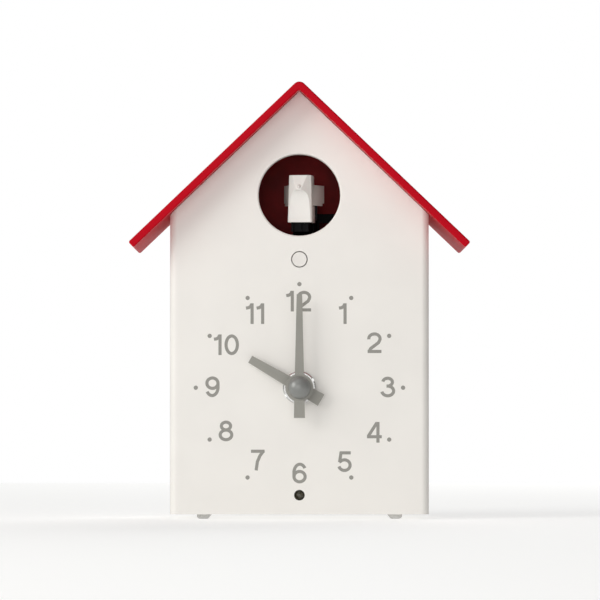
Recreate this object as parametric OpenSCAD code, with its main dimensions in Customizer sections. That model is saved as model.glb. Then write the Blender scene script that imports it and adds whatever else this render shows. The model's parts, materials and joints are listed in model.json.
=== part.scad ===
/* [Case] */
// Width of the white case across its side walls
case_w = 114; // [112:0.5:116]
// Depth of the white case, front face to back cover
case_d = 70; // [70:0.5:74]
// Thickness of the moulded walls
wall = 2.4; // [2.2:0.1:2.6]
// Radius of the two upright front edges
front_edge_r = 3.2; // [2:0.2:4]
// Height of the case above the table
foot_h = 2.2; // [1.8:0.1:2.6]
// Spread of the feet, left to right
foot_spread = 85; // [80:1:90]

/* [Roof] */
// Slope of the roof in degrees
roof_pitch = 43.65; // [43:0.05:44]
// Height of the ridge before it is rounded
ridge_z = 193.2; // [192.5:0.1:195]
// Thickness of the roof panel
roof_t = 3.3; // [3:0.1:3.6]
// Width over the eaves
roof_w = 150; // [146:1:156]
// Depth of the roof, front to back
roof_d = 84; // [84:0.5:88]
// How far the roof stands in front of the case
overhang = 12; // [11:0.5:13]
// Radius of the rounded ridge
ridge_r = 3.1; // [2:0.1:4]

/* [Dial] */
// Height of the centre of the dial
dial_z = 57.9; // [57.5:0.1:58.3]
// Minute hand, centre to tip
minute_len = 41; // [36:0.5:43]
// Hour hand, centre to tip
hour_len = 25.1; // [22:0.5:28]
// Height of the push button's centre
button_z = 114.4; // [114:0.1:114.6]
// Radius of the push button
button_r = 3.2; // [2.8:0.1:3.4]
// Height of the light sensor's centre
sensor_z = 10.65; // [10.5:0.05:11]
// Radius of the light sensor's window
sensor_r = 2.35; // [2:0.05:2.6]

/* [Cuckoo] */
// Radius of the round doorway
door_r = 18; // [17.8:0.1:18]
// Height of the doorway's centre
door_z = 142.85; // [142.7:0.05:143]
// Turn of the bird on its perch in degrees
bird_turn = -8; // [-8:0.5:-6]
// How far the bird comes forward
bird_travel = 18; // [12:1:18]
// Angle of the wings from the body at rest
wing_rest = 21; // [18:1:22]

/* [Power] */
// Radius of one cell
cell_r = 7.1; // [6.9:0.1:7.2]
// Length of one cell without its nub
cell_len = 49.2; // [48.5:0.1:49.4]

/* [Hidden] */
$fn = 48;

// Case planes and outline
front_y = -roof_d / 2 + overhang;
back_y = front_y + case_d;
inner_y = front_y + wall;
cover_y = back_y - wall;
case_z = foot_h;
floor_z = case_z + wall;
seam = 0.2;
play = 0.15;
slope = tan(roof_pitch);
rise = 1 / cos(roof_pitch);
gable_z = ridge_z - roof_t * rise - seam;
eave_x = roof_w / 2;
chamber_out = door_r + 2.4;
chamber_t = 1.2;
chamber_in = chamber_out - chamber_t;
chamber_back = 16;
rim_back = front_y + 8;
shut_line = 0.45;

// Fasteners
screw_r = 1.25;
screw_gap = 0.05;
head_r = 2.5;
head_h = 1.3;
boss_r = 3.2;
case_boss = [[-50.2, 9.4], [50.2, 9.4], [-50.2, 122], [50.2, 122], [0, 172]];
chamber_boss = [[-24.4, 128], [24.4, 128], [-24.4, 150], [24.4, 150]];
chamber_tab_y = -19;
chamber_tab_t = 1.6;
roof_screw_x = 40;
roof_screw_y = [-14, 26];

// Dial stack, from the face towards the viewer
nut_r = 7.3;
nut_h = 2.1;
bush_r = 3.4;
bush_bore = 2.6;
pipe_r = 2.5;
pipe_bore = 1.85;
arbor_r = 1.75;
hand_bore = 1.5;
hour_y = front_y - 4.4;
minute_y = front_y - 7.6;
hub_r = 6.15;
cap_r = 4.9;

// Movement
move_half = 28;
move_t = 1.2;
move_y0 = inner_y + 0.2;
move_y1 = move_y0 + 16;
move_split = move_y0 + 8.4;
plate_y = [move_y0 + 5.65, move_y0 + 6.2];
plate_posts = [[-24, -6], [24, -6], [-24, 24], [24, 24]];
pivot_r = 0.4;
pivot_gap = 0.05;
motion_m = 0.5;
hour_m = motion_m * 64 / 60;
motion_dist = motion_m * 32;
minute_pos = [motion_dist * cos(45), motion_dist * sin(45)];
centre_m = 0.3;
third_dist = centre_m * 36;
third_pos = [-third_dist * cos(20), -third_dist * sin(20)];
third_m = 0.25;
seconds_dist = third_m * 34;
seconds_pos = third_pos + [-seconds_dist * sin(20), -seconds_dist * cos(20)];
seconds_m = 0.22;
fifth_dist = seconds_m * 28;
fifth_pos = seconds_pos + [fifth_dist * cos(20), -fifth_dist * sin(20)];
fifth_m = 0.2;
rotor_dist = fifth_m * 30;
rotor_pos = fifth_pos + [rotor_dist * cos(20), -rotor_dist * sin(20)];

// Cuckoo drive
bird_x = 0.85;
bird_y = -19;
bird_foot = 131;
bird_top = 151.8;
bird_half = 5.34;
head_half = 4.85;
wing_z = [138.6, 147.6];
wing_hinge = [4.2, -2];
wing_gap = 0.15;
hub_wing_r = 0.9;
pin_r = 0.4;
wing_len = 12;
crank_len = 3.2;
crank_turn = 8;
rod_z = 137.7;
chamber_floor = door_z - chamber_out;
floor_top = chamber_floor + chamber_t;
rack_m = 5 / 6;
pinion_n = 12;
pinion_r = rack_m * pinion_n / 2;
pitch_z = chamber_floor - 3.55;
axle_y = -4;
axle_z = pitch_z - pinion_r;
drive_m = 0.5;
drive_n = 30;
motor_n = 10;
motor_dist = drive_m * (drive_n + motor_n) / 2;
motor_y = axle_y + motor_dist * cos(30);
motor_z = axle_z - motor_dist * sin(30);
motor_x = 12.6;

// Back cover fittings
set_x = minute_pos[0];
set_z = dial_z + minute_pos[1];
set_r = 6.5;
volume_x = 34;
volume_z = 100;
volume_r = 7.5;
speaker_x = -28;
speaker_z = 100;
speaker_r = 18;
board_y = 27;
board_t = 1.6;
board_holes = [[8, 85], [48, 85], [48, 113]];
bay_x = 29;
bay_z = [10.5, 57.5];
bay_y = 20.2;
door_lip = 2;
cell_pitch = 15.3;
cell_z0 = bay_z[0] + 8.2;
cell_y = 28.6;

function arc(cx, cy, r, a0, a1, n) =
    [for (i = [0:n]) let (a = a0 + (a1 - a0) * i / n) [cx + r * cos(a), cy + r * sin(a)]];

// Phase that puts a gear's gap on its neighbour's tooth, for a neighbour at the angle toward
function mesh_phase(n_a, phase_a, n_b, toward) =
    toward + 180 + (toward - phase_a) * n_a / n_b + 180 / n_b;

function toward(from, to) = atan2(to[1] - from[1], to[0] - from[0]);

function tooth(n, m, i, phase) = let (
    r = n * m / 2, half = 180 / n / 2 * 0.9,
    tip = half * 0.42, root = r - 1.15 * m, high = r + 0.78 * m, mid = r + 0.3 * m,
    at = phase + i * 360 / n)
    [for (p = [[root, -half], [r, -half], [mid, -half * 0.82], [high, -tip],
               [high, tip], [mid, half * 0.82], [r, half], [root, half]])
        [p[0] * cos(at + p[1]), p[0] * sin(at + p[1])]];

function gear_points(n, m, phase) = [for (i = [0:n - 1]) each tooth(n, m, i, phase)];

phase_cannon = 0;
phase_minute = mesh_phase(16, phase_cannon, 48, toward([0, 0], minute_pos));
phase_hour = mesh_phase(12, phase_minute, 48, toward(minute_pos, [0, 0]));
phase_third = mesh_phase(64, 0, 8, toward([0, 0], third_pos));
phase_seconds = mesh_phase(60, phase_third, 8, toward(third_pos, seconds_pos));
phase_fifth = mesh_phase(48, phase_seconds, 8, toward(seconds_pos, fifth_pos));
phase_rotor = mesh_phase(50, phase_fifth, 10, toward(fifth_pos, rotor_pos));

// Extrudes a shape drawn in X and Z between two planes of Y
module along_y(y0, y1) {
    translate([0, y1, 0]) rotate([90, 0, 0]) linear_extrude(y1 - y0) children();
}

module rod_y(r, y0, y1, x = 0, z = 0) {
    along_y(y0, y1) translate([x, z]) circle(r);
}

module rod_x(r, x0, x1, y = 0, z = 0) {
    translate([x0, y, z]) rotate([0, 90, 0]) cylinder(r = r, h = x1 - x0);
}

// Turns a profile of [radius, y] about an axis along Y
module turned_y(profile, x = 0, z = 0) {
    translate([x, 0, z]) rotate([-90, 0, 0]) rotate_extrude() polygon(profile);
}

// A box given by its two corners
module box(low, high) {
    translate(low) cube(high - low);
}

// The same box, or its mirror image when side is -1
module sided_box(side, low, high) {
    box([side > 0 ? low[0] : -high[0], low[1], low[2]], [side > 0 ? high[0] : -low[0], high[1], high[2]]);
}

module gear(n, m, y0, y1, pos, phase) {
    along_y(y0, y1) translate([pos[0], dial_z + pos[1]]) polygon(gear_points(n, m, phase));
}

// Outline of the case seen from the front, taken in by an inset
module gable(inset) {
    half = case_w / 2 - inset;
    top = gable_z - inset * rise;
    polygon([[-half, case_z + inset], [half, case_z + inset], [half, top - half * slope],
             [0, top], [-half, top - half * slope]]);
}

// Plan of the case with its rounded upright edges
module plan() {
    half = case_w / 2;
    r = front_edge_r;
    b = 1;
    polygon(concat(
        arc(-half + r, front_y + r, r, 180, 270, 8),
        arc(half - r, front_y + r, r, 270, 360, 8),
        arc(half - b, back_y - b, b, 0, 90, 4),
        arc(-half + b, back_y - b, b, 90, 180, 4)));
}

module screw(x, z, y_head, length) {
    rod_y(screw_r, y_head - length, y_head, x, z);
    difference() {
        rod_y(head_r, y_head, y_head + head_h, x, z);
        for (turn = [0, 90])
            translate([x, y_head + head_h, z]) rotate([0, turn, 0])
                cube([3, 1.2, 0.6], center = true);
    }
}

// Pillar on the inside of the face with a thin end that is melted over a circuit board
module stake(r, end_r, y_board, x, z) {
    rod_y(r, inner_y - 0.5, y_board, x, z);
    rod_y(end_r, y_board - 0.5, y_board + 1.7, x, z);
}

module front_housing() {
    color("ivory") difference() {
        union() {
            difference() {
                intersection() {
                    translate([0, 0, case_z]) linear_extrude(ridge_z) plan();
                    along_y(front_y, back_y) gable(0);
                }
                along_y(inner_y, back_y + 1) gable(wall);
            }
            intersection() {
                union() {
                    for (p = case_boss) rod_y(boss_r, inner_y - 0.5, cover_y, p[0], p[1]);
                    for (p = [for (p = case_boss) if (p[0] != 0) p])
                        sided_box(sign(p[0]), [51, inner_y - 0.5, p[1] - 1], [56, cover_y, p[1] + 1]);
                    box([-0.8, inner_y - 0.5, 172], [0.8, cover_y, 188]);
                }
                along_y(front_y + 1, back_y - 1) gable(1);
            }
            rod_y(door_r + 0.8, front_y + 1, rim_back, 0, door_z);
            for (p = chamber_boss) rod_y(2.6, inner_y - 0.5, chamber_tab_y, p[0], p[1]);
            for (x = [-10, 10]) stake(1.8, 0.85, -20.3, x, 112);
            for (x = [-6.4, 6.4]) stake(1.4, 0.6, -22, x, sensor_z);
        }
        rod_y(door_r, front_y - 1, rim_back + 1, 0, door_z);
        rod_y(button_r + shut_line, front_y - 1, inner_y + 1, 0, button_z);
        rod_y(sensor_r, front_y - 1, inner_y + 1, 0, sensor_z);
        rod_y(bush_r + 0.3, front_y - 1, inner_y + 1, 0, dial_z);
        for (p = case_boss) rod_y(screw_r + screw_gap, 22, cover_y + 1, p[0], p[1]);
        for (p = chamber_boss)
            rod_y(screw_r + screw_gap, inner_y + 0.6, chamber_tab_y + 1, p[0], p[1]);
        for (x = [-1, 1], y = [-17, 30])
            translate([x * foot_spread / 2, y, case_z - 1]) cylinder(r = 1.6, h = wall + 2);
        roof_screw_holes(screw_r + screw_gap, 8);
    }
}

// Axes square to the two roof slopes, for the screws that hold the roof
module on_slopes() {
    for (side = [-1, 1], y = roof_screw_y)
        translate([side * roof_screw_x, y, gable_z - roof_screw_x * slope])
            rotate([0, side * roof_pitch, 0]) children();
}

module roof_screw_holes(r, length) {
    on_slopes() translate([0, 0, -length / 2]) cylinder(r = r, h = length);
}

module roof_panel() {
    tip = [eave_x, ridge_z - eave_x * slope];
    under = tip - roof_t * [sin(roof_pitch), cos(roof_pitch)];
    apex = ridge_z - roof_t * rise;
    centre = ridge_z - ridge_r * rise;
    color("red") difference() {
        along_y(-roof_d / 2, roof_d / 2) polygon(concat(
            [[0, apex], under, tip],
            arc(0, centre, ridge_r, 90 - roof_pitch, 90 + roof_pitch, 12),
            [[-tip[0], tip[1]], [-under[0], under[1]]]));
        on_slopes() translate([0, 0, -0.5]) cylinder(r = screw_r + screw_gap, h = seam + 3);
    }
}

module roof_screws() {
    color("silver") on_slopes() {
        translate([0, 0, -wall]) cylinder(r = screw_r, h = wall + seam + 2.2);
        translate([0, 0, -wall - head_h]) cylinder(r = head_r, h = head_h);
    }
}

module rear_cover() {
    color("ivory") difference() {
        union() {
            along_y(cover_y, back_y) gable(wall + play);
            box([-bay_x - 1.4, bay_y - 1.4, bay_z[0] - 1.4], [bay_x + 1.4, cover_y + 1, bay_z[1] + 1.4]);
            for (p = board_holes) rod_y(2.4, board_y + board_t, cover_y + 1, p[0], p[1]);
            rod_y(volume_r + 1.9, cover_y - 1.4, cover_y + 1, volume_x, volume_z);
            rod_y(set_r + 1.9, cover_y - 1.4, cover_y + 1, set_x, set_z);
            difference() {
                rod_y(speaker_r + 1.8, cover_y - 3, cover_y + 1, speaker_x, speaker_z);
                rod_y(speaker_r + 0.2, cover_y - 4, cover_y, speaker_x, speaker_z);
            }
        }
        box([-bay_x, bay_y, bay_z[0]], [bay_x, back_y + 1, bay_z[1]]);
        box([-bay_x - door_lip - play, back_y - 1.7, bay_z[0] - door_lip - play],
            [bay_x + door_lip + play, back_y + 1, bay_z[1] + door_lip + play]);
        box([-5, back_y - 1.8, bay_z[1] + 1], [5, back_y + 1, bay_z[1] + 6]);
        rod_y(volume_r + 0.5, cover_y - 0.2, back_y + 1, volume_x, volume_z);
        rod_y(2, cover_y - 2, back_y + 1, volume_x, volume_z);
        rod_y(set_r + 0.5, cover_y - 0.2, back_y + 1, set_x, set_z);
        rod_y(2.4, cover_y - 2, back_y + 1, set_x, set_z);
        for (p = case_boss) {
            rod_y(screw_r + screw_gap, cover_y - 1, back_y + 1, p[0], p[1]);
            rod_y(head_r + 0.2, back_y - head_h - 0.2, back_y + 1, p[0], p[1]);
        }
        for (p = board_holes)
            rod_y(1.05, board_y, cover_y + 0.6, p[0], p[1]);
        intersection() {
            rod_y(14, cover_y - 1, back_y + 1, speaker_x, speaker_z);
            for (i = [-4:4])
                box([speaker_x - 15, cover_y - 1, speaker_z + i * 3 - 0.7],
                    [speaker_x + 15, back_y + 1, speaker_z + i * 3 + 0.7]);
        }
        rod_y(4, cover_y - 1, back_y + 1, 0, 144);
        box([-2, cover_y - 1, 144], [2, back_y + 1, 152]);
        rod_y(2, cover_y - 1, back_y + 1, 0, 152);
        for (side = [-1, 1]) box([side * (bay_x + 0.7) - 1, cover_y - 6, 20],
                                 [side * (bay_x + 0.7) + 1, cover_y - 5, 21]);
    }
}

module battery_door() {
    y0 = back_y - 1.7 + 0.05;
    color("ivory") difference() {
        union() {
            box([-bay_x - door_lip, y0, bay_z[0] - door_lip],
                [bay_x + door_lip, back_y, bay_z[1] + door_lip]);
            for (x = [-18, 18]) box([x - 4, y0 - 2.4, bay_z[0] + 0.3], [x + 4, y0 + 0.5, bay_z[0] + 1.5]);
            box([-4.4, y0 - 2.4, bay_z[1] - 1.6], [4.4, y0 + 0.5, bay_z[1] - 0.4]);
            box([-4.4, y0, bay_z[1] + 1], [4.4, back_y, bay_z[1] + 5.4]);
        }
        for (i = [0:5])
            box([-7, back_y - 0.5, bay_z[1] - 12 + i * 1.6], [7, back_y + 1, bay_z[1] - 11.3 + i * 1.6]);
    }
}

module foot(side_x, y) {
    color("gray") translate([side_x * foot_spread / 2, y, 0]) rotate_extrude() polygon(concat(
        [[0, 0], [1.5, 0]],
        arc(1.5, 1.4, 1.4, -80, 0, 5),
        [[2.9, case_z], [1.5, case_z], [1.5, floor_z + 1.2], [0, floor_z + 1.2]]));
}

module case_screws() {
    color("silver") for (p = case_boss) screw(p[0], p[1], back_y - head_h - 0.2, 11);
}

// Tapered blade drawn upwards from the dial's centre
module blade(tail, tail_w, tip, tip_w) {
    polygon([[-tail_w / 2, -tail], [tail_w / 2, -tail], [tip_w / 2, tip], [-tip_w / 2, tip]]);
}

module hour_hand() {
    color("gray") along_y(hour_y, hour_y + 1) translate([0, dial_z]) difference() {
        rotate(60) union() {
            blade(11.1, 6, hour_len, 3.66);
            circle(4.6);
        }
        circle(pipe_r);
    }
}

module minute_hand() {
    color("gray") {
        difference() {
            union() {
                along_y(minute_y, minute_y + 0.9) translate([0, dial_z]) blade(13.3, 4.9, minute_len, 2.4);
                rod_y(hub_r, minute_y - 0.1, minute_y + 1.2, 0, dial_z);
            }
            rod_y(hand_bore, minute_y - 1, minute_y + 2, 0, dial_z);
        }
    }
}

module hand_cap() {
    y0 = minute_y - 0.1;
    color("dimgray") difference() {
        turned_y(concat([[0, y0], [cap_r, y0], [cap_r, y0 - 0.5]],
                        [for (a = [0:10:90]) [cap_r * cos(a), y0 - 0.5 - 3.4 * sin(a)]]), 0, dial_z);
        rod_y(hand_bore, y0 - 0.9, y0 + 1, 0, dial_z);
    }
}

module dial_nut() {
    y1 = front_y - 0.02;
    color("silver") difference() {
        turned_y([[bush_r + 0.02, y1], [nut_r, y1], [nut_r, y1 - nut_h + 0.6],
                  [nut_r - 0.6, y1 - nut_h], [bush_r + 0.02, y1 - nut_h]], 0, dial_z);
        for (i = [0:5]) translate([0, y1 - nut_h, dial_z]) rotate([0, 30 + i * 60, 0])
            translate([nut_r, 0, 0]) cube([2.4, 2.4, 1.6], center = true);
    }
}

module front_button() {
    color("ivory") {
        rod_y(button_r, front_y - 0.2, inner_y + 0.5, 0, button_z);
        rod_y(button_r + 1.2, inner_y + 0.25, inner_y + 1.25, 0, button_z);
        rod_y(1.2, inner_y + 1, -24.95, 0, button_z);
    }
}

module switch_plunger() {
    color("black") rod_y(1.5, -24.8, -22.2, 0, button_z);
}

module switch_body() {
    color("dimgray") difference() {
        box([-3, -23.8, button_z - 3], [3, -20.3, button_z + 3]);
        rod_y(1.6, -24, -21.2, 0, button_z);
    }
}

module switch_board() {
    color("green") difference() {
        box([-12.5, -20.3, 106.5], [12.5, -19.1, 117.7]);
        for (x = [-10, 10]) rod_y(0.9, -21, -18, x, 112);
    }
}

module sensor_lens() {
    dome = arc(0, front_y + 3.5, 2.25, 270, 338, 6);
    color("black") turned_y(concat(dome, [[2.2, inner_y + 0.05], [3.4, inner_y + 0.05],
        [3.4, inner_y + 0.9], [0, inner_y + 0.9]]), 0, sensor_z);
}

module light_sensor() {
    color("tan") {
        rod_y(2.5, inner_y + 1.1, -24.2, 0, sensor_z);
        for (x = [-1.2, 1.2]) rod_y(0.25, -24.3, -22, x, sensor_z);
    }
}

module sensor_board() {
    color("green") difference() {
        box([-8, -22, sensor_z - 4.2], [8, -20.8, sensor_z + 4.2]);
        for (x = [-6.4, 6.4]) rod_y(0.65, -23, -20, x, sensor_z);
    }
}

// Open tray between two planes, hollowed between two others, with holes for pivots
module movement_half(y0, y1, hollow_y0, hollow_y1, pivots) {
    inner = move_half - move_t;
    difference() {
        along_y(y0, y1) translate([-move_half, dial_z - move_half]) square(2 * move_half);
        along_y(hollow_y0, hollow_y1) translate([-inner, dial_z - inner]) square(2 * inner);
        for (p = pivots) rod_y(pivot_r + pivot_gap, y0 - 1, y1 + 1, p[0], dial_z + p[1]);
    }
}

module movement_case_front() {
    color("whitesmoke") difference() {
        union() {
            movement_half(move_y0, move_split, move_y0 + move_t, move_split + 1,
                          [seconds_pos, fifth_pos, rotor_pos]);
            for (p = plate_posts) {
                rod_y(1.6, move_y0 + 0.5, plate_y[0], p[0], dial_z + p[1]);
                rod_y(0.75, plate_y[0] - 0.5, plate_y[1] + 0.2, p[0], dial_z + p[1]);
            }
            rod_y(bush_r, front_y - nut_h - 0.4, move_y0 + move_t, 0, dial_z);
        }
        rod_y(bush_bore, front_y - 5, move_y0 + 2, 0, dial_z);
        rod_y(0.85, move_y0 - 1, move_y0 + 2, minute_pos[0], dial_z + minute_pos[1]);
    }
}

module movement_case_rear() {
    color("dimgray") difference() {
        movement_half(move_split, move_y1, move_split - 1, move_y1 - move_t,
                      [third_pos, seconds_pos, fifth_pos, rotor_pos]);
        rod_y(0.85, move_split, move_y1 + 1, 0, dial_z);
        rod_y(1.25, move_split, move_y1 + 1, minute_pos[0], dial_z + minute_pos[1]);
    }
}

// Bridge behind the hour wheel that carries the front pivot of the third wheel
module middle_plate() {
    color("white") along_y(plate_y[0], plate_y[1]) translate([0, dial_z]) difference() {
        translate([-26.4, -9]) square([52.8, 35.6]);
        translate([-26, 16]) square([11, 5]);
        translate([4, -10]) square([16, 6]);
        circle(arbor_r + 0.3);
        translate(minute_pos) circle(1.4);
        translate(third_pos) circle(pivot_r + pivot_gap);
        for (p = plate_posts) translate(p) circle(0.8);
    }
}

// Shaft of the minute hand with its pinion
module minute_arbor() {
    color("gold") {
        rod_y(hand_bore, minute_y - 0.8, minute_y + 1.2, 0, dial_z);
        rod_y(arbor_r, minute_y + 1.2, move_y1 - 2, 0, dial_z);
        rod_y(0.8, move_y1 - 2.5, move_y1 - 0.2, 0, dial_z);
        gear(16, motion_m, move_y0 + 3.8, move_y0 + 5.5, [0, 0], phase_cannon);
    }
}

module hour_wheel() {
    color("white") difference() {
        union() {
            gear(48, hour_m, move_y0 + 1.6, move_y0 + 3, [0, 0], phase_hour);
            rod_y(pipe_r, hour_y - 0.9, move_y0 + 3, 0, dial_z);
        }
        rod_y(pipe_bore, hour_y - 2, move_y0 + 4, 0, dial_z);
    }
}

module minute_wheel() {
    x = minute_pos[0];
    z = dial_z + minute_pos[1];
    color("white") {
        gear(48, motion_m, move_y0 + 4, move_y0 + 5.4, minute_pos, phase_minute);
        gear(12, hour_m, move_y0 + 1.4, move_y0 + 4.2, minute_pos, phase_minute);
        rod_y(0.8, move_y0 + 0.3, move_y0 + 1.5, x, z);
        rod_y(1.2, move_y0 + 5.2, move_y1 + 3, x, z);
    }
}

module time_set_knob() {
    y0 = move_y1 + 0.4;
    color("white") difference() {
        union() {
            rod_y(2.2, y0, cover_y + 0.4, set_x, set_z);
            along_y(cover_y + 0.1, back_y + 1.4) translate([set_x, set_z]) difference() {
                circle(set_r);
                for (i = [0:17]) rotate(i * 20) translate([set_r + 0.25, 0]) circle(r = 0.6, $fn = 16);
            }
        }
        rod_y(1.2, y0 - 1, move_y1 + 3, set_x, set_z);
        box([set_x - 5, back_y + 0.8, set_z - 0.5], [set_x + 5, back_y + 2, set_z + 0.5]);
    }
}

module centre_wheel() {
    color("white") difference() {
        gear(64, centre_m, move_y0 + 6.6, move_y0 + 7.6, [0, 0], 0);
        rod_y(arbor_r + 0.08, move_y0 + 6, move_y0 + 9, 0, dial_z);
    }
}

// Shaft of a wheel, with a thin pivot at each end; its front pivot starts at y0
module arbor(pos, y0, shoulder) {
    rod_y(0.65, y0 + shoulder, move_y1 - move_t - 0.3, pos[0], dial_z + pos[1]);
    rod_y(pivot_r, y0, move_y1 - 0.2, pos[0], dial_z + pos[1]);
}

module third_wheel() {
    color("white") {
        arbor(third_pos, plate_y[0] + 0.05, 0.6);
        gear(8, centre_m, move_y0 + 6.4, move_y0 + 8.7, third_pos, phase_third);
        gear(60, third_m, move_y0 + 8.6, move_y0 + 9.4, third_pos, phase_third);
    }
}

module seconds_wheel() {
    color("white") {
        arbor(seconds_pos, move_y0 + 0.2, 1.3);
        gear(8, third_m, move_y0 + 8.4, move_y0 + 10.6, seconds_pos, phase_seconds);
        gear(48, seconds_m, move_y0 + 10.5, move_y0 + 11.3, seconds_pos, phase_seconds);
    }
}

module fifth_wheel() {
    color("white") {
        arbor(fifth_pos, move_y0 + 0.2, 1.3);
        gear(8, seconds_m, move_y0 + 10.3, move_y0 + 12.3, fifth_pos, phase_fifth);
        gear(50, fifth_m, move_y0 + 12.2, move_y0 + 13, fifth_pos, phase_fifth);
    }
}

module rotor() {
    color("slategray") {
        arbor(rotor_pos, move_y0 + 0.2, 1.3);
        gear(10, fifth_m, move_y0 + 11.8, move_y0 + 13.2, rotor_pos, phase_rotor);
        rod_y(3, move_y0 + 7.4, move_y0 + 10.4, rotor_pos[0], dial_z + rotor_pos[1]);
    }
}

module stator() {
    color("silver") along_y(move_y0 + 8.1, move_y0 + 9.7) translate([0, dial_z]) difference() {
        translate([-6.5, -22.7]) square([31.5, 11.2]);
        translate([4, -20.3]) square([18, 5.8]);
        translate(rotor_pos) circle(3.4);
    }
}

module stator_coil() {
    color("chocolate") difference() {
        union() {
            rod_x(3.2, 5.6, 20.4, move_y0 + 8.9, dial_z - 21.5);
            for (x = [5, 20.4]) rod_x(3.6, x, x + 0.8, move_y0 + 8.9, dial_z - 21.5);
        }
        box([4, move_y0 + 8, dial_z - 22.8], [22, move_y0 + 9.8, dial_z - 20.2]);
    }
}

module movement_board() {
    color("green") {
        box([3, move_y0 + 13.4, dial_z - 26.3], [26.3, move_y0 + 14.4, dial_z - 12]);
        rod_x(1, 10, 16, move_y0 + 12.4, dial_z - 13.3);
    }
}

module bird_chamber() {
    ears = [[-6.5, -5.3], [5.3, 6.5], [11.3, 12.5]];
    color("maroon") difference() {
        union() {
            difference() {
                along_y(inner_y + 0.1, chamber_back) translate([-chamber_out, door_z - chamber_out])
                    square(2 * chamber_out);
                along_y(inner_y - 1, chamber_back - chamber_t) translate([-chamber_in, door_z - chamber_in])
                    square(2 * chamber_in);
            }
            for (p = chamber_boss, side = [sign(p[0])])
                sided_box(side, [chamber_out - 0.5, chamber_tab_y, p[1] - 3.6],
                    [28, chamber_tab_y + chamber_tab_t, p[1] + 3.6]);
            for (e = ears)
                box([e[0], axle_y - 4, axle_z - 3], [e[1], axle_y + 4, chamber_floor + 0.5]);
            box([ears[2][0], axle_y, motor_z - 7], [ears[2][1], motor_y + 7, chamber_floor + 0.5]);
            for (z = [130.4, 136.2]) box([chamber_in - 1.6, -18, z], [chamber_in + 0.5, 13, z + 0.8]);
        }
        box([-4.2, -26.5, chamber_floor - 1], [4.2, 17, floor_top + 0.01]);
        rod_x(1.05, -8, 14, axle_y, axle_z);
        rod_x(2.6, 11, 13, motor_y, motor_z);
        for (p = chamber_boss) rod_y(screw_r + 0.15, chamber_tab_y - 1, chamber_tab_y + 3, p[0], p[1]);
    }
}

module chamber_screws() {
    color("silver") for (p = chamber_boss) screw(p[0], p[1], chamber_tab_y + chamber_tab_t, 7);
}

// Places a shape drawn about the bird's upright axis
module at_bird() {
    translate([bird_x, bird_y, 0]) rotate([0, 0, bird_turn]) children();
}

// Half-space outside the broad bevel down one front edge of the bird
module bevel_side(side) {
    translate([side * 4.3, -5.4, 139]) rotate([0, -2.5, side > 0 ? -45 : -135])
        translate([0, -20, -20]) cube([12, 40, 40]);
}

module bird_body() {
    throat = [-8.2, 140.1];
    color("white") at_bird() difference() {
        union() {
            intersection() {
                along_y(-10, 6) polygon([[-bird_half, bird_foot], [bird_half, bird_foot],
                                         [head_half, bird_top], [-head_half, bird_top]]);
                rotate([0, 0, 90]) along_y(-8, 8) polygon(concat(
                    [[6, bird_foot], [6, bird_top - 1], [5, bird_top], [-5.5, bird_top],
                     [-7.9, bird_top - 5.5]],
                    [for (a = [90:-9:0]) [throat[0] + 2.8 * cos(a), throat[1] + 5.1 * sin(a)]],
                    [[-5.3, bird_foot]]));
            }
            rotate([0, 0, 90]) translate([-7.3, 0, bird_top - 5.2]) rotate([0, -97, 0])
                cylinder(r1 = 1.15, r2 = 0.3, h = 1.8, $fn = 32);
        }
        for (side = [-1, 1]) {
            bevel_side(side);
            sided_box(side, [wing_hinge[0] - hub_wing_r - wing_gap, wing_hinge[1] - hub_wing_r - wing_gap,
                             wing_z[0] - wing_gap], [7, 7, wing_z[1] + wing_gap]);
            translate([side * wing_hinge[0], wing_hinge[1], wing_z[0] - 2])
                cylinder(r = pin_r, h = wing_z[1] - wing_z[0] + 4, $fn = 24);
        }
        box([-3.2, -4.6, bird_foot - 1], [3.2, 4.6, wing_z[0] + 1.8]);
        rod_y(1, 4, 7, 0, rod_z);
    }
}

// A wing turned out from the body, with the crank that moves it
module wing(side) {
    open = side * wing_rest;
    color("white") at_bird() translate([side * wing_hinge[0], wing_hinge[1], 0]) difference() {
        union() {
            translate([0, 0, wing_z[0]]) cylinder(r = hub_wing_r, h = wing_z[1] - wing_z[0]);
            rotate([0, 0, -open]) {
                box([-0.5, 0, wing_z[0]], [0.5, wing_len - 1.5, wing_z[1]]);
                box([-0.5, wing_len - 2, wing_z[0] + 1.2], [0.5, wing_len, wing_z[1]]);
            }
            rotate([0, 0, -side * crank_turn]) {
                sided_box(-side, [0, -0.6, wing_z[0] + 0.1], [crank_len, 0.6, wing_z[0] + 1.2]);
                translate([-side * crank_len, 0, rod_z - 0.7]) cylinder(r = 0.5, h = 1.8, $fn = 24);
                translate([-side * crank_len, 0, wing_z[0] + 0.1]) cylinder(r = 0.6, h = 1.1, $fn = 24);
            }
        }
        translate([0, 0, wing_z[0] - 1]) cylinder(r = pin_r + 0.05, h = 12, $fn = 24);
    }
}

module wing_pins() {
    color("silver") at_bird() for (side = [-1, 1])
        translate([side * wing_hinge[0], wing_hinge[1], wing_z[0] - 1.7])
            cylinder(r = pin_r, h = wing_z[1] - wing_z[0] + 3.4, $fn = 24);
}

module wing_rod() {
    slot_y = wing_hinge[1] + crank_len * sin(crank_turn);
    color("dimgray") at_bird() {
        difference() {
            box([-3, -3.8, rod_z - 0.8], [3, 2, rod_z + 0.7]);
            for (side = [-1, 1])
                sided_box(side, [0.4, slot_y - 0.65, rod_z - 1], [2.3, slot_y + 0.65, rod_z + 1]);
        }
        rod_y(0.8, 1.9, 15, 0, rod_z);
    }
}

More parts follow.
